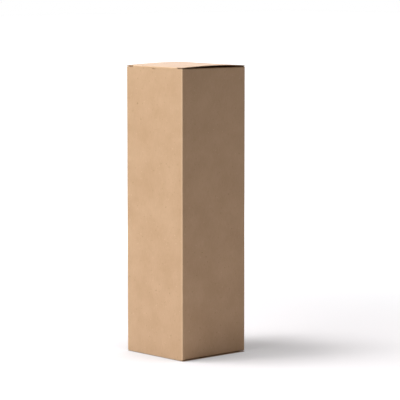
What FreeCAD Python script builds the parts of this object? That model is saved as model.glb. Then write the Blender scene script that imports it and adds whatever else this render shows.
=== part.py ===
"""A tall folding carton of kraft board, closed, with a reverse tuck end.

One blank of solid board makes the whole carton. It is modelled here as three pieces that can
move against each other: the glued tube with its four dust flaps, the top lid, and the bottom
lid. The top lid folds on the back panel and tucks behind the front panel. The bottom lid folds
on the front panel and tucks behind the back panel.

Millimetres. Each body is drawn about the carton's middle height and then placed, so that the
finished carton stands on z = 0 with its front panel toward -Y.
"""
import math
import os

import FreeCAD
import Part
import Sketcher

Vector = FreeCAD.Vector
os.makedirs("parts", exist_ok=True)
doc = FreeCAD.newDocument("carton")

# Sizes. Each row is one named size that the sketches and features below follow.

SIZES = [
    ("box_width", 80.0, "outside width of the front and back panels"),
    ("box_depth", 80.0, "outside width of the side panels"),
    ("box_height", 275.0, "floor to the fold of the top lid"),
    ("board", 0.6, "thickness of the board"),
    ("crease_radius", 1.2, "outside radius of every folded crease"),
    ("flap_gap", 0.6, "air between a lid and the dust flaps under it"),
    ("slit_gap", 0.7, "air between a lid and the raw edge it closes on"),
    ("tuck_clearance", 0.3, "air between a tuck flap and the panel in front of it"),
    ("lid_inset", 0.4, "how far each side of a lid stays inside the carton's side"),
    ("slit_length", 7.6, "length of the lock slit at each end of a tuck fold"),
    ("tuck_length", 20.0, "depth of a tuck flap below its fold"),
    ("tuck_corner", 11.0, "radius of a tuck flap's free corners"),
    ("tuck_curl", 70.0, "radius of the curl along a tuck flap"),
    ("dust_length", 34.0, "reach of a dust flap in from its side panel"),
    ("dust_shoulder", 3.0, "how far a dust flap steps back behind its lock shoulder"),
    ("dust_taper", 6.0, "how far a dust flap narrows along the lid's hinge side"),
    ("dust_corner", 3.0, "radius of a dust flap's free corners"),
    ("glue_width", 14.0, "width of the glue tab"),
    ("seam_setback", 0.3, "how far the left panel's raw edge stays back from the glue tab's crease"),
    ("glue_start", 4.0, "plain distance from a tube end to the glue tab's taper"),
    ("glue_taper", 4.0, "extra distance that the taper takes at the tab's free edge"),
    ("notch_width", 5.8, "width of the thumb notch"),
    ("notch_depth", 1.7, "depth of the thumb notch"),
    ("crown_right", 1.5, "rise of the top lid's right edge at its middle"),
    ("crown_left", 0.6, "rise of the top lid's left edge at its middle"),
]

sheet = doc.addObject("Spreadsheet::Sheet", "sizes")
for row, (alias, number, note) in enumerate(SIZES, start=1):
    sheet.set("A%d" % row, alias)
    sheet.set("B%d" % row, "%g" % number)
    sheet.setAlias("B%d" % row, alias)
    sheet.set("C%d" % row, note)
doc.recompute()


class Size:
    """A number together with the formula that gives it in the document."""

    def __init__(self, value, formula):
        self.value = float(value)
        self.formula = formula

    def __add__(self, other):
        other = size(other)
        return Size(self.value + other.value, "(%s + %s)" % (self.formula, other.formula))

    def __sub__(self, other):
        other = size(other)
        return Size(self.value - other.value, "(%s - %s)" % (self.formula, other.formula))

    def __mul__(self, other):
        other = size(other)
        return Size(self.value * other.value, "(%s * %s)" % (self.formula, other.formula))

    def __truediv__(self, other):
        other = size(other)
        return Size(self.value / other.value, "(%s / %s)" % (self.formula, other.formula))

    def __neg__(self):
        return Size(-self.value, "(0 - %s)" % self.formula)

    __radd__ = __add__

    def __rsub__(self, other):
        return size(other) - self

    __rmul__ = __mul__


def size(thing):
    """A Size from a Size, a plain number or the name of a row in the sheet."""
    if isinstance(thing, Size):
        return thing
    if isinstance(thing, str):
        return Size(sheet.get(thing), "sizes.%s" % thing)
    return Size(thing, "%.9g" % thing)


def larger(first, second):
    first = size(first)
    second = size(second)
    return Size(max(first.value, second.value), "max(%s; %s)" % (first.formula, second.formula))


def root(thing):
    return Size(math.sqrt(thing.value), "sqrt(%s)" % thing.formula)


def follow(thing, place, value):
    """Bind one property of a feature to a size."""
    thing.setExpression(place, size(value).formula)


# Sketches. An outline is a list of corners; a corner with a third entry is reached along an arc
# about that centre, and a fourth entry of -1 means that the arc runs clockwise.


def sketch_on(body, name, plane, lift=None):
    """A sketch on one of the body's planes, moved along the plane's normal by lift."""
    sketch = body.newObject("Sketcher::SketchObject", name)
    for feature in body.Origin.OriginFeatures:
        if feature.Role == plane:
            sketch.AttachmentSupport = [(feature, "")]
    sketch.MapMode = "FlatFace"
    if lift is not None:
        sketch.AttachmentOffset = FreeCAD.Placement(Vector(0, 0, lift.value), FreeCAD.Rotation())
        follow(sketch, "AttachmentOffset.Base.z", lift)
    return sketch


def pin(sketch, edge, end, x=None, y=None):
    """Hold one point of an edge at a formula's place."""
    for kind, place in (("DistanceX", x), ("DistanceY", y)):
        if place is None:
            continue
        number = sketch.addConstraint(Sketcher.Constraint(kind, -1, 1, edge, end, place.value))
        follow(sketch, "Constraints[%d]" % number, place)


def draw(sketch, corners):
    """One closed outline, every corner of it held by formulas."""
    count = len(corners)
    points = [(size(corner[0]), size(corner[1])) for corner in corners]
    edges = []
    for index in range(count):
        start = points[index]
        end = points[(index + 1) % count]
        goal = corners[(index + 1) % count]
        here = Vector(start[0].value, start[1].value, 0)
        there = Vector(end[0].value, end[1].value, 0)
        if len(goal) < 3:
            edges.append((sketch.addGeometry(Part.LineSegment(here, there)), 1, 2))
            continue
        middle = Vector(size(goal[2][0]).value, size(goal[2][1]).value, 0)
        clockwise = len(goal) > 3 and goal[3] < 0
        first, last = (there, here) if clockwise else (here, there)
        circle = Part.Circle(middle, Vector(0, 0, 1), (here - middle).Length)
        begin = math.atan2(first.y - middle.y, first.x - middle.x)
        finish = math.atan2(last.y - middle.y, last.x - middle.x)
        while finish <= begin:
            finish += 2 * math.pi
        edge = sketch.addGeometry(Part.ArcOfCircle(circle, begin, finish))
        pin(sketch, edge, 3, size(goal[2][0]), size(goal[2][1]))
        edges.append((edge, 2, 1) if clockwise else (edge, 1, 2))
    for index in range(count):
        edge, _, finish = edges[index]
        following, begin, _ = edges[(index + 1) % count]
        sketch.addConstraint(Sketcher.Constraint("Coincident", edge, finish, following, begin))
    for index in range(count):
        x, y = points[index]
        edge, begin, _ = edges[index]
        if len(corners[index]) < 3:
            pin(sketch, edge, begin, x, y)
            continue
        reach_x = abs(x.value - size(corners[index][2][0]).value)
        reach_y = abs(y.value - size(corners[index][2][1]).value)
        if reach_y >= reach_x:
            pin(sketch, edge, begin, x, None)
        else:
            pin(sketch, edge, begin, None, y)


def pad(body, name, profile, length, back=None):
    """Raise a sketch along its normal; with back given, both ways; back of 0 is symmetric."""
    feature = body.newObject("PartDesign::Pad", name)
    feature.Profile = profile
    if back is None:
        follow(feature, "Length", length)
    elif size(back).value == 0:
        feature.SideType = "Symmetric"
        follow(feature, "Length", length)
    else:
        feature.SideType = "Two sides"
        follow(feature, "Length", length)
        follow(feature, "Length2", back)
    profile.Visibility = False
    doc.recompute()
    return feature


def pocket(body, name, profile, length, reverse=False, symmetric=False):
    """Cut a sketch out of the body, and make sure that the cut took something away."""
    before = body.Shape.Volume
    feature = body.newObject("PartDesign::Pocket", name)
    feature.Profile = profile
    feature.Reversed = reverse
    if symmetric:
        feature.SideType = "Symmetric"
    follow(feature, "Length", length)
    profile.Visibility = False
    doc.recompute()
    if body.Shape.Volume >= before - 1e-6:
        raise RuntimeError("%s cuts nothing" % name)
    return feature


# Distances that several pieces share, measured from the carton's middle.

width = size("box_width")
depth = size("box_depth")
height = size("box_height")
board = size("board")
bend = size("crease_radius")
clearance = size("tuck_clearance")
inset = size("lid_inset")

side = width / 2
face = depth / 2
top = height / 2
inner_bend = bend - board

rim = top - board - size("slit_gap")
dust_top = top - board - size("flap_gap")
dust_bend = dust_top - bend
dust_lock = -face + larger((board + clearance) * 2, bend)
crease_line = face - bend
dust_hinge = crease_line - size("seam_setback")

tuck_face = -face + board + clearance
fold_start = tuck_face + bend
lid_side = side - inset
lock_inner = lid_side - size("slit_length")
tuck_side = side - board * 2 - inset
tuck_top = top - larger(board + size("slit_gap"), bend)
tuck_tip = tuck_top - size("tuck_length")
slant = math.sqrt(0.5)


# The glued tube: four panels, the glue tab and the four dust flaps.

tube = doc.addObject("PartDesign::Body", "tube")
tube.Label = "carton_body"

section = sketch_on(tube, "wall_section", "XY_Plane")
draw(section, [
    (-side, dust_hinge),
    (-side, -face + bend),
    (-side + bend, -face, (-side + bend, -face + bend)),
    (side - bend, -face),
    (side, -face + bend, (side - bend, -face + bend)),
    (side, face - bend),
    (side - bend, face, (side - bend, face - bend)),
    (-side + board + bend, face),
    (-side + board, face - bend, (-side + board + bend, face - bend)),
    (-side + board, dust_hinge),
])
glue_edge = crease_line - size("glue_width")
draw(section, [
    (-side + board, glue_edge),
    (-side + board, -face + bend),
    (-side + bend, -face + board, (-side + bend, -face + bend)),
    (side - bend, -face + board),
    (side - board, -face + bend, (side - bend, -face + bend)),
    (side - board, face - bend),
    (side - bend, face - board, (side - bend, face - bend)),
    (-side + board + bend, face - board),
    (-side + board * 2, face - bend, (-side + board + bend, face - bend)),
    (-side + board * 2, glue_edge),
])
pad(tube, "walls", section, rim * 2, back=0)

tapers = sketch_on(tube, "glue_tapers", "YZ_Plane")
start = rim - size("glue_start")
draw(tapers, [
    (glue_edge - 1, start - size("glue_taper")),
    (glue_edge, start - size("glue_taper")),
    (crease_line, start),
    (crease_line, rim + 1),
    (glue_edge - 1, rim + 1),
])
draw(tapers, [
    (glue_edge - 1, -start + size("glue_taper")),
    (glue_edge - 1, -rim - 1),
    (crease_line, -rim - 1),
    (crease_line, -start),
    (glue_edge, -start + size("glue_taper")),
])
pocket(tube, "glue_tab_ends", tapers, side - board)

roots = sketch_on(tube, "dust_roots", "YZ_Plane")
draw(roots, [
    (dust_lock, dust_bend),
    (dust_hinge, dust_bend),
    (dust_hinge, top),
    (dust_lock, top),
])
root_cut = pocket(tube, "dust_root_cut", roots, width + 2, symmetric=True)

bends = sketch_on(tube, "dust_bend_profile", "XZ_Plane")
for sign in (1, -1):
    outer = side * sign
    draw(bends, [
        (outer, dust_bend),
        (outer - bend * sign, dust_top, (outer - bend * sign, dust_bend), sign),
        (outer - bend * sign * 1.5, dust_top),
        (outer - bend * sign * 1.5, dust_top - board),
        (outer - bend * sign, dust_top - board),
        (outer - board * sign, dust_bend, (outer - bend * sign, dust_bend), -sign),
    ])
bend_pad = pad(tube, "dust_bends", bends, -dust_lock, back=dust_hinge)

# The plan of a dust flap: a lock shoulder beside the tuck fold, a step back behind it, rounded
# free corners, and a taper on the lid's hinge side.

plates = sketch_on(tube, "dust_flap_plan", "XY_Plane", lift=dust_top - board)
step = size("dust_shoulder")
corner = size("dust_corner")
free = side - size("dust_length")
shoulder = side - size("slit_length")
step_line = dust_lock + step
taper_line = dust_hinge - size("dust_taper")
for sign in (1, -1):
    draw(plates, [
        ((side - bend) * sign, dust_lock),
        ((side - bend) * sign, dust_hinge),
        ((free + corner) * sign, taper_line),
        (free * sign, taper_line - corner, ((free + corner) * sign, taper_line - corner), sign),
        (free * sign, step_line + corner),
        ((free + corner) * sign, step_line, ((free + corner) * sign, step_line + corner), sign),
        ((shoulder - step) * sign, step_line),
        (shoulder * sign, dust_lock),
    ])
plate_pad = pad(tube, "dust_flaps", plates, board)

# The half of the lid's crease that stays with the panel. The other half belongs to the lid, and
# the two meet on the crease's slanting middle plane.

hinge = sketch_on(tube, "hinge_profile", "YZ_Plane")
draw(hinge, [
    (face, rim - 1),
    (face, top - bend),
    (face - bend + bend * slant, top - bend + bend * slant, (face - bend, top - bend)),
    (face - bend + inner_bend * slant, top - bend + inner_bend * slant),
    (face - board, top - bend, (face - bend, top - bend), -1),
    (face - board, rim - 1),
])
hinge_pad = pad(tube, "lid_crease", hinge, (side - bend - board) * 2, back=0)

# The lower end is the upper end turned half round about the X axis: a reverse tuck.

ends = tube.newObject("PartDesign::PolarPattern", "both_ends")
ends.Originals = [root_cut, bend_pad, plate_pad, hinge_pad]
for feature in tube.Origin.OriginFeatures:
    if feature.Role == "X_Axis":
        ends.Axis = (feature, [""])
ends.Angle = 360
ends.Occurrences = 2
tube.Tip = ends
doc.recompute()

notch = sketch_on(tube, "notch_profile", "XZ_Plane")
notch_width = size("notch_width")
notch_depth = size("notch_depth")
notch_radius = (notch_width * notch_width / 4 + notch_depth * notch_depth) / (notch_depth * 2)
notch_centre = rim - notch_depth + notch_radius
draw(notch, [
    (-notch_width / 2, rim),
    (notch_width / 2, rim, (0, notch_centre)),
    (notch_width / 2, rim + 1),
    (-notch_width / 2, rim + 1),
])
pocket(tube, "thumb_notch", notch, face + 1, reverse=True)


# The lids.


def crease_side(crown):
    """A lid panel's edge-on outline, from its half of the crease to the tuck fold."""
    outer = [
        (face - bend + inner_bend * slant, top - bend + inner_bend * slant),
        (face - bend + bend * slant, top - bend + bend * slant),
        (face - bend, top, (face - bend, top - bend)),
    ]
    inner_start = (face - bend, top - board)
    if crown is None:
        outer.append((fold_start, top))
        outer.append((fold_start, top - board))
        outer.append(inner_start)
    else:
        span = face - bend - fold_start
        middle = (face - bend + fold_start) / 2
        radius = (span * span / 4 + crown * crown) / (crown * 2)
        outer.append((fold_start, top, (middle, top + crown - radius)))
        outer.append((fold_start, top - board))
        outer.append(inner_start + ((middle, top - board + crown - radius), -1))
    outer[0] = outer[0] + ((face - bend, top - bend), -1)
    return outer


def make_lid(name, crown_left, crown_right):
    """One lid: its panel, the tuck fold, the curled tuck flap and the two lock corners."""
    body = doc.addObject("PartDesign::Body", name)

    if crown_left is None:
        outline = sketch_on(body, name + "_profile", "YZ_Plane")
        draw(outline, crease_side(None))
        pad(body, name + "_panel", outline, lid_side * 2, back=0)
    else:
        left = sketch_on(body, name + "_left_edge", "YZ_Plane", lift=-lid_side)
        draw(left, crease_side(crown_left))
        right = sketch_on(body, name + "_right_edge", "YZ_Plane", lift=lid_side)
        draw(right, crease_side(crown_right))
        doc.recompute()
        loft = body.newObject("PartDesign::AdditiveLoft", name + "_panel")
        loft.Profile = left
        loft.Sections = [right]
        loft.Ruled = True
        left.Visibility = False
        right.Visibility = False
        doc.recompute()

    fold = sketch_on(body, name + "_fold_profile", "YZ_Plane")
    draw(fold, [
        (fold_start + bend / 2, top - board),
        (fold_start + bend / 2, top),
        (fold_start, top),
        (tuck_face, top - bend, (fold_start, top - bend)),
        (tuck_face, tuck_top - 0.5),
        (tuck_face + board, tuck_top - 0.5),
        (tuck_face + board, top - bend),
        (fold_start, top - board, (fold_start, top - bend), -1),
    ])
    pad(body, name + "_tuck_fold", fold, lock_inner * 2, back=0)

    curl = size("tuck_curl")
    drop = size("tuck_length")
    reach = root(curl * curl - drop * drop)
    ratio = (curl - board) / curl
    centre = (tuck_face + curl, tuck_top)
    flap = sketch_on(body, name + "_flap_profile", "YZ_Plane")
    draw(flap, [
        (tuck_face + board, tuck_top, centre, -1),
        (tuck_face, tuck_top),
        (tuck_face + curl - reach, tuck_tip, centre),
        (tuck_face + curl - reach * ratio, tuck_top - drop * ratio),
    ])
    pad(body, name + "_tuck_flap", flap, tuck_side * 2, back=0)

    rounding = size("tuck_corner")
    corners = sketch_on(body, name + "_flap_corners", "XZ_Plane")
    for sign in (1, -1):
        outer = tuck_side * sign
        middle = (outer - rounding * sign, tuck_tip + rounding)
        draw(corners, [
            (outer, tuck_tip + rounding, middle, sign),
            (outer + sign, tuck_tip + rounding),
            (outer + sign, tuck_tip - 1),
            (outer - rounding * sign, tuck_tip - 1),
            (outer - rounding * sign, tuck_tip),
        ])
    pocket(body, name + "_rounded_corners", corners, face + 2, reverse=True)

    locks = sketch_on(body, name + "_lock_plan", "XY_Plane", lift=top - board)
    for sign in (1, -1):
        draw(locks, [
            (lock_inner * sign, fold_start),
            (lock_inner * sign, -face + 0.1),
            ((lid_side - 0.8) * sign, -face + 0.1),
            (lid_side * sign, -face + 0.9, ((lid_side - 0.8) * sign, -face + 0.9), sign),
            (lid_side * sign, fold_start),
        ])
    pad(body, name + "_lock_corners", locks, board)
    return body


top_lid = make_lid("upper_lid", size("crown_left"), size("crown_right"))
top_lid.Label = "top_lid"
bottom_lid = make_lid("lower_lid", None, None)
bottom_lid.Label = "bottom_lid"


# Placing: the bottom lid is the same blank shape turned half round about the X axis.

upright = FreeCAD.Rotation(Vector(1, 0, 0), 0)
turned = FreeCAD.Rotation(Vector(1, 0, 0), 180)
for body, turn in ((tube, upright), (top_lid, upright), (bottom_lid, turned)):
    body.Placement = FreeCAD.Placement(Vector(0, 0, top.value), turn)
    follow(body, "Placement.Base.z", top)
doc.recompute()

for thing in doc.Objects:
    if "Invalid" in thing.State or "Error" in thing.State:
        raise RuntimeError("%s is not sound: %s" % (thing.Name, thing.State))

for body in (tube, top_lid, bottom_lid):
    shape = body.Shape
    if not shape.isValid() or len(shape.Solids) != 1:
        raise RuntimeError("%s is not one sound solid" % body.Label)
    shape.exportStep("parts/%s.step" % body.Label)
    box = shape.BoundBox
    print(
        "%s: volume %.1f, x %.2f to %.2f, y %.2f to %.2f, z %.2f to %.2f"
        % (body.Label, shape.Volume, box.XMin, box.XMax, box.YMin, box.YMax, box.ZMin, box.ZMax)
    )
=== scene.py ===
# %% [markdown]
# A closed kraft carton
#
# The object is a tall bottle carton. One flat blank of kraft board is creased, glued into a
# square tube and closed with a tuck lid at each end. The scene builds it the same way: a sheet
# with no thickness is drawn out panel by panel and turned at each crease, and the board's
# thickness comes last. So every bend, slit and raw edge lands where the real ones are.

# %% Load the frame
import math

import bmesh
import bpy
from mathutils import Matrix, Vector, noise


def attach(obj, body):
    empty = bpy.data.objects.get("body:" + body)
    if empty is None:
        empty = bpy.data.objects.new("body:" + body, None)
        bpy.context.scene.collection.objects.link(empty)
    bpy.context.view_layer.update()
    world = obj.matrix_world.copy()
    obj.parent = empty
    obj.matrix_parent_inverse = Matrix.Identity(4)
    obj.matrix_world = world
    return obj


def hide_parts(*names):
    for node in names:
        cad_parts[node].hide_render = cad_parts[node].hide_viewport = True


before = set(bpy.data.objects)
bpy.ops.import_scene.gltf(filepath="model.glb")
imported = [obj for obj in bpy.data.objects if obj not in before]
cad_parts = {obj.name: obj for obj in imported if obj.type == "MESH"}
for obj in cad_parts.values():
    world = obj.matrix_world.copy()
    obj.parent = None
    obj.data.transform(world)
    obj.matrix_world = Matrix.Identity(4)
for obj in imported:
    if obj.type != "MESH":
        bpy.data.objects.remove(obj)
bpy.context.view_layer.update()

# %% [markdown]
# Sizes first. They are the carton's real sizes in millimetres, turned to metres once. A crease in
# 0.6 mm board is a rounded bend, here with an outside radius of 1.2 mm, so a panel is flat only
# as far as FLAT from the middle. The raw rim stands a little below the lid, and the dust flaps
# bend lower still, because they fold in under it.

# %% The carton's sizes
MM = 0.001
SIDE = 40 * MM
HEIGHT = 275 * MM
BOARD = 0.6 * MM
BEND = 1.2 * MM
FLAT = SIDE - BEND
RIM = HEIGHT - 1.3 * MM
FLAP_BEND = HEIGHT - 2.4 * MM
MIDDLE = Vector((0, 0, HEIGHT / 2))
X_AXIS = Vector((1, 0, 0))
Y_AXIS = Vector((0, 1, 0))
Z_AXIS = Vector((0, 0, 1))
print("carton", round(2 * SIDE / MM), "x", round(2 * SIDE / MM), "x", round(HEIGHT / MM), "mm")

# %% [markdown]
# A folded sheet grows from its front edges. Extruding them and moving the new vertices makes a
# flat panel, and turning them about a crease's centre in small steps makes the bend. Each vertex
# also remembers where it lay on the flat blank. That gives a true unwrapped map for the paper
# fibres, which run on round every crease, as they do in the real board.


# %% Growing a sheet
class Sheet:
    """A bmesh of board with no thickness, whose vertices know their place on the flat blank."""

    def __init__(self):
        self.mesh = bmesh.new()
        layers = self.mesh.verts.layers.float
        self.across = layers.new("across")
        self.along = layers.new("along")
        self.crease = layers.new("crease")

    def start(self, first, last, cuts):
        """One straight row of edges from first to last, cut at the given shares of its length."""
        here = bmesh.ops.create_vert(self.mesh, co=first)["vert"][0]
        row = []
        previous = 0.0
        for share in list(cuts) + [1.0]:
            grown = bmesh.ops.extrude_vert_indiv(self.mesh, verts=[here])
            here = grown["verts"][0]
            bmesh.ops.translate(self.mesh, verts=[here], vec=(last - first) * (share - previous))
            row.extend(grown["edges"])
            previous = share
        return row

    def grow(self, edges, move, across=0.0, along=0.0, crease=0.0):
        """Extrude the edges, move the new ones, and return them as the new front."""
        grown = bmesh.ops.extrude_edge_only(self.mesh, edges=edges)["geom"]
        fresh = {item for item in grown if isinstance(item, bmesh.types.BMVert)}
        bmesh.ops.transform(self.mesh, matrix=move, verts=list(fresh))
        for vert in fresh:
            vert[self.across] += across
            vert[self.along] += along
            vert[self.crease] = crease
        lines = [item for item in grown if isinstance(item, bmesh.types.BMEdge)]
        return [line for line in lines if line.verts[0] in fresh and line.verts[1] in fresh]

    def panel(self, edges, direction, stops, across=0, along=0):
        """Draw out a flat panel, with a row of vertices at each stop."""
        reached = 0.0
        for stop in stops:
            step = stop - reached
            move = Matrix.Translation(direction * step)
            edges = self.grow(edges, move, across * step, along * step)
            reached = stop
        return edges

    def fold(self, edges, centre, axis, degrees, steps=6, across=0, along=0, wear_and_highlight=(0.4,)):
        """Turn the front about a crease's centre in small steps, each tinted as pale as its crease
        wear and painted highlight say.
        """
        angle = math.radians(degrees) / steps
        place = Matrix.Translation(centre)
        move = place @ Matrix.Rotation(angle, 4, axis) @ place.inverted()
        step = BEND * abs(angle)
        for count in range(steps):
            pale = wear_and_highlight[min(count, len(wear_and_highlight) - 1)]
            edges = self.grow(edges, move, across * step, along * step, crease=pale)
        return edges

    def open_edges(self, test):
        """The sheet's free edges whose middle passes the test."""
        found = []
        for edge in self.mesh.edges:
            if len(edge.link_faces) == 1 and test((edge.verts[0].co + edge.verts[1].co) / 2):
                found.append(edge)
        return found

    def trim(self, inside, point, normal):
        """Cut off what lies beyond a plane, only among the faces that pass the test."""
        faces = [face for face in self.mesh.faces if inside(face.calc_center_median())]
        parts = set(faces)
        for face in faces:
            parts.update(face.edges)
            parts.update(face.verts)
        bmesh.ops.bisect_plane(
            self.mesh,
            geom=list(parts),
            dist=1e-7,
            plane_co=point,
            plane_no=normal,
            clear_outer=True,
        )

    def round_corner(self, inside, centre, radius, first, last, first_axis, second_axis, cuts=7):
        """Round a free corner with a fan of short cuts about its centre."""
        for count in range(cuts):
            angle = math.radians(first + (last - first) * (count + 0.5) / cuts)
            outward = first_axis * math.cos(angle) + second_axis * math.sin(angle)
            self.trim(inside, centre + outward * radius, outward)


def even_stops(length, count):
    return [length * (number + 1) / count for number in range(count)]


# %% [markdown]
# The tube is the long part of the blank: left panel, front panel, right panel, back panel and the
# glue tab. A box with beveled edges would look alike from a step away, but it would have no seam,
# no raw ends and no inside. Here the front row of edges is one tall column that walks round the
# square. It starts at the seam, at the far end of the left panel. The panels get close rows
# beside their creases, because the creasing rule presses a groove there, and the front panel gets
# more of them in its middle, for the thumb notch.

# %% The left and front panels
SEAM = 38.5 * MM
COLUMN_ROWS = 66
FLAP_ROOT_FRONT = 38.05 * MM
FLAP_ROOT_BACK = 38.2 * MM
SCORE = 36.4 * MM
STRIP = FLAT - BOARD
NOTCH_HALF = 2.9 * MM
NOTCH_SHARES = (-0.9, -0.6, -0.3, 0, 0.3, 0.6, 0.9, 1)

tube = Sheet()
column = tube.start(
    Vector((-SIDE, SEAM, HEIGHT - FLAP_BEND)),
    Vector((-SIDE, SEAM, FLAP_BEND)),
    [number / COLUMN_ROWS for number in range(1, COLUMN_ROWS)],
)
for vert in tube.mesh.verts:
    vert[tube.along] = vert.co.z

side_stops = [FLAT - FLAP_ROOT_BACK, FLAT - FLAP_ROOT_FRONT, FLAT - SCORE]
side_stops += [FLAT - SCORE + stop for stop in even_stops(2 * SCORE, 16)]
side_stops += [FLAT + FLAP_ROOT_FRONT, FLAT + FLAP_ROOT_BACK]
left_stops = [stop - (FLAT - SEAM) for stop in side_stops if stop > FLAT - SEAM]
left_stops += [FLAT + SEAM]
column = tube.panel(column, -Y_AXIS, left_stops, across=1)
column = tube.fold(column, Vector((-FLAT, -FLAT, 0)), Z_AXIS, 90, across=1)

front_stops = [FLAT - STRIP, FLAT - SCORE]
front_stops += [FLAT - SCORE + stop for stop in even_stops(SCORE - NOTCH_HALF, 8)]
front_stops += [FLAT + NOTCH_HALF * share for share in NOTCH_SHARES]
front_stops += [FLAT + NOTCH_HALF + stop for stop in even_stops(SCORE - NOTCH_HALF, 8)]
front_stops += [FLAT + STRIP, 2 * FLAT]
column = tube.panel(column, X_AXIS, front_stops, across=1)
print("two panels", len(tube.mesh.faces), "faces")

# %% [markdown]
# The near crease comes next. Its lit side gets a painted highlight: a pale tint that starts high
# and fades to nothing on the way round to the shaded side. The right and back panels follow, and
# the glue tab at the end slips inside the left panel, where the real one is glued. The last crease
# lies one board's thickness further in than the others, which is what lets the tab pass behind.

# %% The right and back panels and the glue tab
NEAR_HIGHLIGHT = (1.0, 0.8, 0.5, 0.2, 0.0, 0.0)
TAB_WIDTH = 14 * MM

# Painted highlight: the row before the near crease starts at its full pale tint.
for edge in column:
    for vert in edge.verts:
        vert[tube.crease] = NEAR_HIGHLIGHT[0]
column = tube.fold(column, Vector((FLAT, -FLAT, 0)), Z_AXIS, 90, across=1, wear_and_highlight=NEAR_HIGHLIGHT)
column = tube.panel(column, Y_AXIS, side_stops + [2 * FLAT], across=1)
column = tube.fold(column, Vector((FLAT, FLAT, 0)), Z_AXIS, 90, across=1)
back_stops = [FLAT - STRIP, FLAT - SCORE]
back_stops += [FLAT - SCORE + stop for stop in even_stops(2 * SCORE, 17)]
back_stops += [FLAT + STRIP]
column = tube.panel(column, -X_AXIS, back_stops, across=1)
column = tube.fold(column, Vector((-STRIP, FLAT, 0)), Z_AXIS, 90, across=1)
column = tube.panel(column, -Y_AXIS, even_stops(TAB_WIDTH, 4), across=1)
print("tube", len(tube.mesh.faces), "faces")

# %% [markdown]
# A dust flap folds in from each side panel. Its hinge side slopes away from the lid's crease. Its
# tuck side has a shoulder that the lid's slit catches on, and then steps back to leave room for
# the tuck flap. The outline could be drawn as one polygon, but a flap that grows with its panel
# keeps its bend and its paper map, so a plain strip is grown first and then cut with planes. The
# strip's rows are counted in millimetres from the bend, and the outline's points from the
# carton's middle. The same function cuts all four flaps.

# %% The dust flaps' outline
FLAP_ROWS = (2, 5, 6.4, 9.4)
FLAP_REST = 23.4 * MM
SLOPE_ROOT = (38.8, 38.4)
SLOPE_OUTWARD = (-6, 29.8)
SHOULDER_START = (32.4, -38.2)
SHOULDER_END = (29.4, -35.2)
FREE_CORNERS = ((9, 29.2, 90, 180), (9, -32.2, 180, 270))
FREE_RADIUS = 3 * MM

flap_stops = [row * MM for row in FLAP_ROWS]
flap_stops += [flap_stops[-1] + stop for stop in even_stops(FLAP_REST, 6)]


def shape_flap(sheet, turned, way, lift):
    """Slope one side of a dust flap, cut its lock shoulder and round its free corners."""
    spin = turned.to_3x3()
    back = turned.inverted()
    level = FLAP_BEND + BEND + lift

    def on_flap(point, low=0.0, high=FLAT):
        here = back @ point
        at_level = abs(here.z - level) < 0.05 * MM
        return at_level and here.y < FLAT and low < here.x * way < high

    def place(x, y):
        return turned @ Vector((x * MM * way, y * MM, level))

    def aim(x, y):
        return spin @ Vector((x * way, y, 0)).normalized()

    first_reach, last_reach = SHOULDER_START[0] * MM, SHOULDER_END[0] * MM
    sheet.trim(on_flap, place(*SLOPE_ROOT), aim(*SLOPE_OUTWARD))
    sheet.trim(
        lambda point: on_flap(point, last_reach, first_reach), place(*SHOULDER_START), aim(-1, -1)
    )
    sheet.trim(lambda point: on_flap(point, 0, last_reach), place(*SHOULDER_END), aim(0, -1))
    for x, y, first, last in FREE_CORNERS:
        sheet.round_corner(
            lambda point: on_flap(point, 0, 10 * MM),
            place(x, y),
            FREE_RADIUS,
            first,
            last,
            spin @ Vector((way, 0, 0)),
            spin @ Y_AXIS,
        )


print("dust flap", round(flap_stops[-1] / MM, 1), "mm deep past its bend")

# %% [markdown]
# Each end of the tube carries four things: a raw rim on the tuck side, half of the lid's crease
# on the hinge side, and a dust flap on each of the two other sides. The lower end is the upper one
# turned half round about X, which is what makes this a reverse tuck carton. So one function makes
# both, and a half turn carries its places to the lower end. The upper left flap lies half a
# millimetre higher, close under the lid, and so the lid's left slit shows board, not daylight.

# %% The tube's two ends
LEFT_LIFT = 0.5 * MM
TAB_SETBACK = 4 * MM


def end_turn(top):
    """The half turn that carries a place from the top to the bottom, or no turn for the top."""
    if top:
        return Matrix.Identity(4)
    place = Matrix.Translation(MIDDLE)
    return place @ Matrix.Rotation(math.pi, 4, "X") @ place.inverted()


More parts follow.
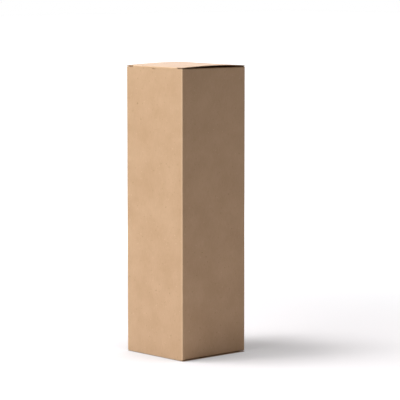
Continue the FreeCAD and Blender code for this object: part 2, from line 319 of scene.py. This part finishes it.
def make_end(sheet, top):
    """Finish one end of the tube: rim, crease half, dust flaps and the glue tab's end."""
    turned = end_turn(top)
    spin = turned.to_3x3()
    back = turned.inverted()
    sense = 1 if top else -1

    def end_edges(test):
        def at_end(point):
            here = back @ point
            return here.z > FLAP_BEND - 0.01 * MM and test(here)

        return sheet.open_edges(at_end)

    def in_root(here):
        far = SEAM if (top and here.x < 0) else FLAP_ROOT_BACK
        return abs(here.x) > SIDE - 0.1 * MM and -FLAP_ROOT_FRONT < here.y < far

    right = end_edges(lambda here: in_root(here) and here.x > 0)
    left = end_edges(lambda here: in_root(here) and here.x < 0)
    hinge = end_edges(lambda here: here.y > SIDE - 0.1 * MM and abs(here.x) < STRIP)
    taken = set(right + left + hinge)
    rest = [edge for edge in end_edges(lambda here: True) if edge not in taken]
    rest = [edge for edge in rest if abs(edge.verts[0].co.z - edge.verts[1].co.z) < 0.01 * MM]
    sheet.panel(rest, spin @ Z_AXIS, [RIM - FLAP_BEND], along=sense)

    hinge = sheet.panel(hinge, spin @ Z_AXIS, [HEIGHT - BEND - FLAP_BEND], along=sense)
    centre = turned @ Vector((0, FLAT, HEIGHT - BEND))
    sheet.fold(hinge, centre, spin @ X_AXIS, 45, steps=3, along=sense)

    lifts = {1: 0.0, -1: LEFT_LIFT if top else 0.0}
    for edges, way in ((right, 1), (left, -1)):
        if lifts[way]:
            edges = sheet.panel(edges, spin @ Z_AXIS, [lifts[way]], along=sense)
        centre = turned @ Vector((FLAT * way, 0, FLAP_BEND + lifts[way]))
        edges = sheet.fold(edges, centre, spin @ (-Y_AXIS * way), 90, along=sense)
        sheet.panel(edges, spin @ (-X_AXIS * way), flap_stops, along=sense)
    for way in (1, -1):
        shape_flap(sheet, turned, way, lifts[way])

    # The glue tab stops short of the dust flaps and its ends slope, so that they fold freely.
    def on_tab(point):
        inner = -SIDE + BOARD / 2 < point.x < -SIDE + 1.5 * BOARD and 20 * MM < point.y < FLAT
        return inner and (point.z - MIDDLE.z) * sense > 0

    tab_end = Vector((0, FLAT, MIDDLE.z + sense * (RIM - TAB_SETBACK - MIDDLE.z)))
    sheet.trim(on_tab, tab_end, Vector((0, -TAB_SETBACK, sense * TAB_WIDTH)).normalized())


make_end(tube, True)
make_end(tube, False)
print("tube with ends", len(tube.mesh.faces), "faces")

# %% [markdown]
# The upper right flap's bend shows under the lid's edge. It gets a painted highlight, a pale tint
# that is strongest at the front corner, for the light its rounded top catches there. The crease
# layer that the folds already fill carries this painted highlight too, so the board needs no
# second material.

# %% A painted highlight on the right flap's bend
BEND_HIGHLIGHT = 1.8

highlighted_verts = 0
# Painted highlight: a pale tint on the bend that fades from the front corner toward the back.
for vert in tube.mesh.verts:
    if vert.co.x > FLAT - 0.01 * MM and vert.co.z > FLAP_BEND + 0.05 * MM:
        vert[tube.crease] = max(vert[tube.crease], -BEND_HIGHLIGHT * vert.co.y / SIDE)
        highlighted_verts += 1
print("worn vertices", highlighted_verts)

# %% [markdown]
# The thumb notch is a shallow round bite in the front panel's top edge, where a thumb gets hold
# of the lid. A boolean would cut it, but it would leave slivers in the board's thin edge. The
# panel's two top rows stand close together there and their columns are close too, so they are
# moved down onto the notch's circle instead.

# %% The thumb notch
NOTCH_DEPTH = 1.7 * MM
notch_radius = (NOTCH_HALF**2 + NOTCH_DEPTH**2) / (2 * NOTCH_DEPTH)
notch_moved = 0
for vert in tube.mesh.verts:
    near_front = vert.co.y < -SIDE + 0.1 * MM and abs(vert.co.x) < NOTCH_HALF
    if near_front and vert.co.z > FLAP_BEND - 0.1 * MM:
        drop = notch_radius - math.sqrt(notch_radius**2 - vert.co.x**2)
        edge = RIM - NOTCH_DEPTH + drop
        vert.co.z = edge if vert.co.z > RIM - 0.1 * MM else min(vert.co.z, edge - 0.5 * MM)
        notch_moved += 1
print("notch vertices", notch_moved)

# %% [markdown]
# A lid is one more strip of the same blank. It starts at the middle of its crease, runs over the
# opening, and turns down into the tuck flap. Two slits cut the fold at its ends, and the board
# beyond them stays flat as a small ear.
#
# The top lid does not lie flat in the photograph: it springs up between its folds. On the left it
# is highest near the hinge, and on the right nearly in the middle. A power of the way across
# moves the top of a plain arch toward the hinge. Its tuck flap curls inward, as a flap that has
# been pushed in does, and is pressed in a little behind the thumb notch.

# %% The lid's bent shape
LID_SIDE = 39.6 * MM
TUCK_FACE = -39.1 * MM
TUCK_DEPTH = 20 * MM
TUCK_CURL = 70 * MM
DENT_WIDTH = 10 * MM
DENT_DEPTH = 1.0 * MM
LEAN_LEFT = 0.6
LEAN_RIGHT = 0.9
FOLD_START = TUCK_FACE + BEND
SPAN = FLAT - FOLD_START


def crown_lid(lid, left, right):
    """Spring the lid up between its folds by left on one side and right on the other."""
    for vert in lid.mesh.verts:
        share = (FLAT - vert.co.y) / SPAN
        if 0 < share < 1:
            rightward = (vert.co.x + LID_SIDE) / (2 * LID_SIDE)
            crown = left + (right - left) * rightward
            reach = share ** (LEAN_LEFT + (LEAN_RIGHT - LEAN_LEFT) * rightward)
            vert.co.z += crown * 4 * reach * (1 - reach)


def curl_tuck(lid):
    """Curl the tuck flap inward on a wide circle, and press it in behind the notch."""
    for vert in lid.mesh.verts:
        below = RIM - vert.co.z
        if below > 0:
            vert.co.y += TUCK_CURL - math.sqrt(TUCK_CURL**2 - below**2)
            pressed = max(0.0, 1 - (vert.co.x / DENT_WIDTH) ** 2) * min(1.0, below / (2 * MM))
            vert.co.y += DENT_DEPTH * pressed * max(0.0, 1 - below / TUCK_DEPTH)


print("lid", round(SPAN / MM, 1), "mm from crease to fold")

# %% [markdown]
# The lid's strip needs a column of vertices at every place where its outline turns: the ends of
# the slits and the sides of the tuck flap. Below the fold the flap widens again on both sides,
# under the slits, so its shoulders are grown sideways from the middle strip. The bottom lid is
# made the same way without a crown and turned half round. Its place on the paper map is moved, so
# that the two lids do not show the same specks.

# %% Making a lid
SLIT_INNER = 32 * MM
EAR_MIDDLE = 35 * MM
EAR_END = 39.9 * MM
TUCK_SIDE = 38.4 * MM
TUCK_CORNER = 11 * MM
CREASE_HEIGHT = HEIGHT - BEND
CROWN_LEFT = 1.4 * MM
CROWN_RIGHT = 1.2 * MM
MAP_SHIFT_ALONG = 0.4
MAP_SHIFT_ACROSS = 0.1


def make_lid(crown_left, crown_right):
    lid = Sheet()
    inner = [-SLIT_INNER + stop for stop in [0.0] + even_stops(2 * SLIT_INNER, 16)]
    marks = [-LID_SIDE, -TUCK_SIDE, -EAR_MIDDLE] + inner + [EAR_MIDDLE, TUCK_SIDE, LID_SIDE]
    halfway = BEND * math.sqrt(0.5)
    first = Vector((-LID_SIDE, FLAT + halfway, CREASE_HEIGHT + halfway))
    last = Vector((LID_SIDE, first.y, first.z))
    front = lid.start(first, last, [(mark + LID_SIDE) / (2 * LID_SIDE) for mark in marks[1:-1]])
    for vert in lid.mesh.verts:
        vert[lid.across] = vert.co.x
        vert[lid.crease] = 1.0
    front = lid.fold(front, Vector((0, FLAT, CREASE_HEIGHT)), X_AXIS, 45, steps=3, along=1)
    front = lid.panel(front, -Y_AXIS, even_stops(SPAN, 22), along=1)
    crown_lid(lid, crown_left, crown_right)

    ears = [edge for edge in front if abs(edge.verts[0].co.x + edge.verts[1].co.x) / 2 > SLIT_INNER]
    middle = [edge for edge in front if edge not in set(ears)]
    lid.panel(ears, -Y_AXIS, [1 * MM, FOLD_START + EAR_END], along=1)
    middle = lid.fold(middle, Vector((0, FOLD_START, CREASE_HEIGHT)), X_AXIS, 90, along=1)
    middle = lid.panel(middle, -Z_AXIS, [CREASE_HEIGHT - RIM], along=1)
    lid.panel(middle, -Z_AXIS, even_stops(TUCK_DEPTH, 10), along=1)

    for way in (1, -1):
        shoulder = lid.open_edges(
            lambda point: point.z < RIM + 0.001 * MM
            and abs(point.x - SLIT_INNER * way) < 0.01 * MM
        )
        lid.panel(shoulder, X_AXIS * way, [3 * MM, TUCK_SIDE - SLIT_INNER], across=way)
        corner = Vector(((TUCK_SIDE - TUCK_CORNER) * way, 0, RIM - TUCK_DEPTH + TUCK_CORNER))

        def near_corner(point):
            beyond = (point.x - corner.x) * way > -0.001 and point.z < corner.z + 1 * MM
            return beyond and point.z < RIM - 1 * MM

        lid.round_corner(near_corner, corner, TUCK_CORNER, 0, -90, X_AXIS * way, Z_AXIS, cuts=9)

    curl_tuck(lid)
    return lid


top_lid = make_lid(CROWN_LEFT, CROWN_RIGHT)
bottom_lid = make_lid(0.0, 0.0)
bmesh.ops.transform(bottom_lid.mesh, matrix=end_turn(False), verts=bottom_lid.mesh.verts)
for vert in bottom_lid.mesh.verts:
    vert[bottom_lid.along] += MAP_SHIFT_ALONG
    vert[bottom_lid.across] += MAP_SHIFT_ACROSS
print("lids", len(top_lid.mesh.faces), "and", len(bottom_lid.mesh.faces), "faces")

# %% [markdown]
# Board is never quite flat. It takes up a little moisture and its panels bow by tenths of a
# millimetre, which shows as soft changes of tone. Each vertex sinks inward by a slow noise, never
# outward, so the carton keeps its outside size. The noise has 22 and 70 cells to the metre, which
# is a wave every 45 and 14 mm. Beside the upright creases the board sinks a little more, for the
# groove that the creasing rule leaves. The crease halves at the two hinges stay where they are,
# because the lids turn on that line and any gap would show light.

# %% Letting the board relax
RELAX_DEPTH = 0.16 * MM
SLOW_WAVES = 22
FINE_WAVES = 70
SCORE_DEPTH = 0.09 * MM


def relax(sheet, depth, seed):
    """Sink a sheet's vertices inward by up to depth, along smooth waves."""
    sheet.mesh.normal_update()
    for vert in sheet.mesh.verts:
        place = vert.co + Vector((seed, 0, 0))
        slow = noise.noise(place * SLOW_WAVES)
        fine = noise.noise(place * FINE_WAVES)
        amount = depth * max(0.0, min(1.0, 0.5 + 0.4 * slow + 0.12 * fine))
        from_crease = FLAT - min(abs(vert.co.x), abs(vert.co.y))
        if abs(vert.normal.z) < 0.1 and 0.5 * MM < from_crease < 1 * MM:
            amount += SCORE_DEPTH
        toward_hinge = vert.co.y if vert.co.z > MIDDLE.z else -vert.co.y
        past_bend = abs(vert.co.z - MIDDLE.z) - (HEIGHT / 2 - BEND)
        if toward_hinge > FLAT and past_bend > 0.1 * MM:
            amount = 0.0
        vert.co -= vert.normal * amount


def face_outward(sheet, test_point, outward):
    """Make all faces agree, and turn them so that the face nearest the test point looks out."""
    bmesh.ops.recalc_face_normals(sheet.mesh, faces=sheet.mesh.faces)
    nearest = min(
        sheet.mesh.faces, key=lambda face: (face.calc_center_median() - test_point).length
    )
    nearest.normal_update()
    if nearest.normal.dot(outward) < 0:
        bmesh.ops.reverse_faces(sheet.mesh, faces=sheet.mesh.faces)


face_outward(tube, Vector((0.01, -SIDE, 0.14)), -Y_AXIS)
face_outward(top_lid, Vector((0, 0, HEIGHT)), Z_AXIS)
face_outward(bottom_lid, Vector((0, 0, 0)), -Z_AXIS)
relax(tube, RELAX_DEPTH, 0.3)
print("relaxed by up to", round(RELAX_DEPTH / MM, 2), "mm")

# %% [markdown]
# Every material below is a small tree of nodes. One helper adds a node with its settings and its
# links, so that each call reads like a line of a list. Colours are written as the sRGB hex values
# that a colour picker gives, and one function turns them to the linear values that shaders take.


# %% Colours and nodes
def linear(text):
    """An sRGB hex colour as the linear values that the shaders take."""
    values = [int(text[place : place + 2], 16) / 255 for place in (0, 2, 4)]
    steps = []
    for value in values:
        steps.append(value / 12.92 if value <= 0.04045 else ((value + 0.055) / 1.055) ** 2.4)
    return (*steps, 1.0)


def add_node(tree, kind, settings=None, links=None):
    """Add a node, set its properties and inputs, and link its inputs from other outputs."""
    node = tree.nodes.new(kind)
    for name, value in (settings or {}).items():
        if isinstance(name, str) and hasattr(node, name):
            setattr(node, name, value)
        else:
            node.inputs[name].default_value = value
    for name, source in (links or {}).items():
        tree.links.new(source, node.inputs[name])
    return node


def new_material(name):
    material = bpy.data.materials.new(name)
    material.use_nodes = True
    material.node_tree.nodes.clear()
    return material, material.node_tree


print("pale kraft is", [round(value, 3) for value in linear("DAB894")])

# %% [markdown]
# The finish is natural kraft board. It is pressed from unbleached wood pulp and left bare, so it
# is warm brown and matt, with long faint fibres, cloudy patches where the pulp lay thicker, and
# a few darker or paler specks. Folded board is slightly paler along its creases, where the fibres
# are stretched. The same crease tint also paints highlights: on the lit side of the near crease
# and along the right flap's bend.
#
# The pattern is laid out in metres on the blank's own map, so a scale of 1000 means one cell per
# millimetre. The fibres run along the carton's height, which is the grain direction that cartons
# are cut in. Three noises share the work: clouds 25 mm wide, fibres 0.5 by 6 mm, and specks about
# a millimetre wide that only show at the noise's peaks. Real fibres are about 0.03 mm wide, too
# fine for this picture, so they are drawn as coarse as 0.5 mm.

# %% Kraft board
KRAFT_DARK = "BF9A75"
KRAFT_PALE = "DAB894"
SPECK_DARK = "A07A54"
SPECK_PALE = "E6C9A5"
# Pale for stretched fibres at the creases, and also the colour of the painted highlights.
CREASE_PALE = "E8CBA5"
CUT_EDGE = "A98159"


def make_kraft(name, edge=False):
    """Kraft board, as its face or as the plies of its cut edge."""
    material, tree = new_material(name)
    uv = add_node(tree, "ShaderNodeUVMap", {"uv_map": "blank"}).outputs["UV"]
    clouds = add_node(
        tree,
        "ShaderNodeTexNoise",
        {"Scale": 40.0, "Detail": 3.0, "Roughness": 0.55},
        {"Vector": uv},
    )
    grain_place = add_node(
        tree, "ShaderNodeMapping", {"Scale": (2000.0, 170.0, 1.0)}, {"Vector": uv}
    )
    fibres = add_node(
        tree,
        "ShaderNodeTexNoise",
        {"Scale": 1.0, "Detail": 3.0, "Roughness": 0.6, "Distortion": 0.6},
        {"Vector": grain_place.outputs["Vector"]},
    )
    specks = add_node(
        tree,
        "ShaderNodeTexNoise",
        {"Scale": 420.0, "Detail": 2.0, "Roughness": 0.5},
        {"Vector": uv},
    )
    dark = add_node(
        tree,
        "ShaderNodeMapRange",
        {"From Min": 0.67, "From Max": 0.75, "To Min": 0.0, "To Max": 0.6},
        {"Value": specks.outputs["Fac"]},
    )
    pale = add_node(
        tree,
        "ShaderNodeMapRange",
        {"From Min": 0.33, "From Max": 0.25, "To Min": 0.0, "To Max": 0.5},
        {"Value": specks.outputs["Fac"]},
    )
    cloud_tone = add_node(
        tree,
        "ShaderNodeMapRange",
        {"From Min": 0.3, "From Max": 0.7, "To Min": 0.29, "To Max": 0.66},
        {"Value": clouds.outputs["Fac"]},
    )
    fibre_tone = add_node(
        tree,
        "ShaderNodeMapRange",
        {"From Min": 0.25, "From Max": 0.75, "To Min": -0.18, "To Max": 0.18},
        {"Value": fibres.outputs["Fac"]},
    )
    mixed = add_node(
        tree,
        "ShaderNodeMath",
        {"operation": "ADD"},
        {0: cloud_tone.outputs["Result"], 1: fibre_tone.outputs["Result"]},
    )
    base = add_node(
        tree,
        "ShaderNodeMix",
        {"data_type": "RGBA", 6: linear(KRAFT_DARK), 7: linear(KRAFT_PALE)},
        {0: mixed.outputs["Value"]},
    )
    with_dark = add_node(
        tree,
        "ShaderNodeMix",
        {"data_type": "RGBA", 7: linear(SPECK_DARK)},
        {0: dark.outputs["Result"], 6: base.outputs[2]},
    )
    with_pale = add_node(
        tree,
        "ShaderNodeMix",
        {"data_type": "RGBA", 7: linear(SPECK_PALE)},
        {0: pale.outputs["Result"], 6: with_dark.outputs[2]},
    )
    if edge:
        # A cut edge shows the board's plies end on, a little darker than its face.
        colour = add_node(
            tree,
            "ShaderNodeMix",
            {"data_type": "RGBA", 0: 0.4, 7: linear(CUT_EDGE)},
            {6: with_pale.outputs[2]},
        )
    else:
        # Crease tint: stretched fibres made pale, plus painted highlights on the near crease and
        # the flap bend.
        stretched_and_highlight = add_node(tree, "ShaderNodeAttribute", {"attribute_name": "crease"})
        on_crease = add_node(
            tree,
            "ShaderNodeMath",
            {"operation": "MULTIPLY", 1: 0.55},
            {0: stretched_and_highlight.outputs["Fac"]},
        )
        colour = add_node(
            tree,
            "ShaderNodeMix",
            {"data_type": "RGBA", 7: linear(CREASE_PALE)},
            {0: on_crease.outputs["Value"], 6: with_pale.outputs[2]},
        )
    relief = add_node(
        tree,
        "ShaderNodeMath",
        {"operation": "ADD"},
        {0: fibres.outputs["Fac"], 1: specks.outputs["Fac"]},
    )
    bump = add_node(
        tree,
        "ShaderNodeBump",
        {"Strength": 0.5, "Distance": 0.03 * MM},
        {"Height": relief.outputs["Value"]},
    )
    rough = add_node(
        tree,
        "ShaderNodeMapRange",
        {"From Min": 0.3, "From Max": 0.7, "To Min": 0.48, "To Max": 0.56},
        {"Value": clouds.outputs["Fac"]},
    )
    shader = add_node(
        tree,
        "ShaderNodeBsdfPrincipled",
        {"IOR": 1.45, "Coat Weight": 0.1, "Coat Roughness": 0.4},
        {
            "Base Color": colour.outputs[2],
            "Roughness": rough.outputs["Result"],
            "Normal": bump.outputs["Normal"],
        },
    )
    add_node(tree, "ShaderNodeOutputMaterial", {}, {"Surface": shader.outputs["BSDF"]})
    return material


kraft_board = make_kraft("kraft_board")
kraft_cut_edge = make_kraft("kraft_cut_edge", edge=True)
print("materials", kraft_board.name, kraft_cut_edge.name)

# %% [markdown]
# Now the sheets get their thickness. Solidify offsets every face inward by 0.6 mm and closes the
# raw edges with their own material. Drawing the inside by hand would double the work and drift
# from the outside at every crease. The result is kept as a plain mesh, so that only the raw
# edges are sharp and the creases stay smoothly rounded. The tube rides on the carton, and each
# lid rides on its own hinge.


# %% From sheet to board
def make_piece(sheet, name, body, node):
    """Turn a sheet into board 0.6 mm thick, on its body and in the place of its CAD node."""
    blank_map = sheet.mesh.loops.layers.uv.new("blank")
    for face in sheet.mesh.faces:
        face.smooth = True
        for loop in face.loops:
            loop[blank_map].uv = (loop.vert[sheet.across], loop.vert[sheet.along])
    thin = bpy.data.meshes.new(name + "_thin")
    sheet.mesh.to_mesh(thin)
    sheet.mesh.free()
    thin.materials.append(kraft_board)
    thin.materials.append(kraft_cut_edge)
    draft = bpy.data.objects.new(name + "_draft", thin)
    bpy.context.scene.collection.objects.link(draft)
    thick = draft.modifiers.new("board", "SOLIDIFY")
    thick.thickness = BOARD
    thick.offset = -1
    thick.use_even_offset = True
    thick.material_offset_rim = 1
    bpy.context.view_layer.update()
    finished = draft.evaluated_get(bpy.context.evaluated_depsgraph_get())
    solid = bpy.data.meshes.new_from_object(finished)
    bpy.data.objects.remove(draft)
    solid.name = name
    solid.set_sharp_from_angle(angle=math.radians(50))
    piece = bpy.data.objects.new(name, solid)
    bpy.context.scene.collection.objects.link(piece)
    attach(piece, body)
    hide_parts(node)
    print(name, len(solid.vertices), "vertices", len(solid.polygons), "faces")


make_piece(tube, "carton_tube", "carton", "carton_body")
make_piece(top_lid, "crowned_top_lid", "top_lid", "top_lid")
make_piece(bottom_lid, "flat_bottom_lid", "bottom_lid", "bottom_lid")

# %% [markdown]
# The carton stands on white paper that runs on out of view. Lit paper alone comes out grey where
# the picture is pure white, so the paper also glows, but only for the camera: little near the
# carton, where the soft shadow lies, and fully in the open. Its own colour gets darker far out,
# so that the paper's white does not flood the shaded side with light. Close to the carton an
# ambient occlusion node darkens it, which draws the thin contact shadow.

# %% White paper
PAPER_NEAR = "E8E4E6"
PAPER_FAR = "909090"

paper, paper_tree = new_material("white_paper")
paper_light = add_node(paper_tree, "ShaderNodeLightPath")
paper_place = add_node(paper_tree, "ShaderNodeTexCoord")
paper_reach = add_node(
    paper_tree, "ShaderNodeVectorMath", {"operation": "LENGTH"}, {0: paper_place.outputs["Object"]}
)
paper_far = add_node(
    paper_tree,
    "ShaderNodeMapRange",
    {
        "interpolation_type": "SMOOTHSTEP",
        "From Min": 0.15,
        "From Max": 0.9,
        "To Min": 0.345,
        "To Max": 1.1,
    },
    {"Value": paper_reach.outputs["Value"]},
)
paper_fade = add_node(
    paper_tree,
    "ShaderNodeMapRange",
    {"interpolation_type": "SMOOTHSTEP", "From Min": 0.12, "From Max": 0.8},
    {"Value": paper_reach.outputs["Value"]},
)
paper_glow = add_node(
    paper_tree,
    "ShaderNodeMath",
    {"operation": "MULTIPLY"},
    {0: paper_light.outputs["Is Camera Ray"], 1: paper_far.outputs["Result"]},
)
paper_tone = add_node(
    paper_tree,
    "ShaderNodeMix",
    {"data_type": "RGBA", 6: linear(PAPER_NEAR), 7: linear(PAPER_FAR)},
    {0: paper_fade.outputs["Result"]},
)
paper_open = add_node(
    paper_tree,
    "ShaderNodeAmbientOcclusion",
    {"samples": 16, "Distance": 0.12},
    {"Color": paper_tone.outputs[2]},
)
paper_shader = add_node(
    paper_tree,
    "ShaderNodeBsdfPrincipled",
    {"Roughness": 0.9, "Emission Color": (0.98, 1.0, 1.02, 1.0)},
    {"Base Color": paper_open.outputs["Color"], "Emission Strength": paper_glow.outputs["Value"]},
)
add_node(paper_tree, "ShaderNodeOutputMaterial", {}, {"Surface": paper_shader.outputs["BSDF"]})

ground_mesh = bmesh.new()
bmesh.ops.create_grid(ground_mesh, x_segments=1, y_segments=1, size=12.0)
ground_data = bpy.data.meshes.new("white_ground")
ground_mesh.to_mesh(ground_data)
ground_mesh.free()
ground_data.materials.append(paper)
ground = bpy.data.objects.new("white_ground", ground_data)
bpy.context.scene.collection.objects.link(ground)
print("ground", [round(size, 1) for size in ground.dimensions], "m")

# %% [markdown]
# The world stands for the white room around the carton, and it does three jobs. The camera sees
# it pure white. Reflections see a bright backdrop only behind the carton, which gives the board
# its faint sheen at flat angles. All other light from it is a weak, slightly warm fill, so that
# the shaded side stays dark.

# %% The room's white
AWAY_FROM_CAMERA = (-0.741, 0.672, 0.0)
ROOM_FILL = 0.06

world = bpy.data.worlds.new("studio")
bpy.context.scene.world = world
world.use_nodes = True
world.node_tree.nodes.clear()
sky_path = add_node(world.node_tree, "ShaderNodeLightPath")
sky_place = add_node(world.node_tree, "ShaderNodeTexCoord")
sky_behind = add_node(
    world.node_tree,
    "ShaderNodeVectorMath",
    {"operation": "DOT_PRODUCT", 1: AWAY_FROM_CAMERA},
    {0: sky_place.outputs["Generated"]},
)
backdrop = add_node(
    world.node_tree,
    "ShaderNodeMapRange",
    {
        "interpolation_type": "SMOOTHSTEP",
        "From Min": 0.35,
        "From Max": 0.9,
        "To Min": 0.0,
        "To Max": 2.3,
    },
    {"Value": sky_behind.outputs["Value"]},
)
backdrop_seen = add_node(
    world.node_tree,
    "ShaderNodeMath",
    {"operation": "MULTIPLY"},
    {0: sky_path.outputs["Is Glossy Ray"], 1: backdrop.outputs["Result"]},
)
sky_strength = add_node(
    world.node_tree,
    "ShaderNodeMath",
    {"operation": "MAXIMUM", 1: ROOM_FILL},
    {0: backdrop_seen.outputs["Value"]},
)
sky_fill = add_node(
    world.node_tree,
    "ShaderNodeBackground",
    {"Color": (1.0, 0.93, 0.92, 1.0)},
    {"Strength": sky_strength.outputs["Value"]},
)
sky_white = add_node(world.node_tree, "ShaderNodeBackground", {"Color": (1.0, 1.0, 1.0, 1.0)})
sky = add_node(
    world.node_tree,
    "ShaderNodeMixShader",
    {},
    {
        0: sky_path.outputs["Is Camera Ray"],
        1: sky_fill.outputs["Background"],
        2: sky_white.outputs["Background"],
    },
)
add_node(world.node_tree, "ShaderNodeOutputWorld", {}, {"Surface": sky.outputs["Shader"]})
print("world set")

# %% [markdown]
# Three soft lights shape the carton. A window high on the left, 66 degrees up, lights the lid and
# the front panel and throws the short shadow to the right. A lower and wider one at the front left
# evens out the panel from top to bottom. A small warm card low on the right stands for the
# light that warm things in a room throw back, and lifts the shaded side a little. Area lights
# are used because their size sets how soft the shadow's edge is. The first two are placed by an
# angle round from the camera's left, which is the way a photographer would move a lamp, and their
# rise is counted from LAMP_BASE, about the height of the carton's middle. All places are metres.

# %% Lights
LEFT_OF_CAMERA = 227.81
LAMP_BASE = 0.14
WHITE = (1.0, 1.0, 1.0)
WARM = (1.0, 0.88, 0.78)


def soft_light(name, place, width, height, watts, colour=WHITE):
    """A rectangular lamp that looks at the carton's middle."""
    lamp = bpy.data.lights.new(name, "AREA")
    lamp.color = colour
    lamp.shape = "RECTANGLE"
    lamp.size = width
    lamp.size_y = height
    lamp.energy = watts
    holder = bpy.data.objects.new(name, lamp)
    holder.location = place
    holder.rotation_euler = (MIDDLE - Vector(place)).to_track_quat("-Z", "Y").to_euler()
    bpy.context.scene.collection.objects.link(holder)
    print(name, [round(value, 2) for value in place], watts, "W")


def from_left(distance, degrees_round, degrees_up):
    """A place at that distance, turned from the camera's left toward the camera, and raised."""
    heading = math.radians(LEFT_OF_CAMERA + degrees_round)
    level = distance * math.cos(math.radians(degrees_up))
    rise = distance * math.sin(math.radians(degrees_up))
    return (level * math.cos(heading), level * math.sin(heading), rise + LAMP_BASE)


soft_light("window_left", from_left(1.9, 2, 66), 0.6, 0.75, 28.6)
soft_light("low_left", from_left(1.1, 38, 25), 0.9, 0.6, 7.5)
soft_light("card_right", (0.683, 0.766, 0.2), 0.5, 0.4, 1.5, WARM)

# %% [markdown]
# The camera is a long lens from two metres away, so the upright edges stay nearly parallel.
# It is turned 48 degrees, which puts the near edge left of the picture's middle, and tipped down
# by 6 degrees, which shows a narrow strip of the lid.

# %% Camera
CAMERA_LENS = 188.3
CAMERA_TURN = 47.813
CAMERA_TIP = 6.234

camera_data = bpy.data.cameras.new("camera")
camera_data.lens = CAMERA_LENS
camera_data.sensor_width = 36
camera = bpy.data.objects.new("camera", camera_data)
camera.location = (1.4814, -1.3245, 0.3633)
camera.rotation_euler = (math.radians(90 - CAMERA_TIP), 0, math.radians(CAMERA_TURN))
bpy.context.scene.collection.objects.link(camera)
bpy.context.scene.camera = camera
bpy.context.scene.view_settings.view_transform = "Standard"
print("camera", round((camera.location - MIDDLE).length, 2), "m from the carton's middle")
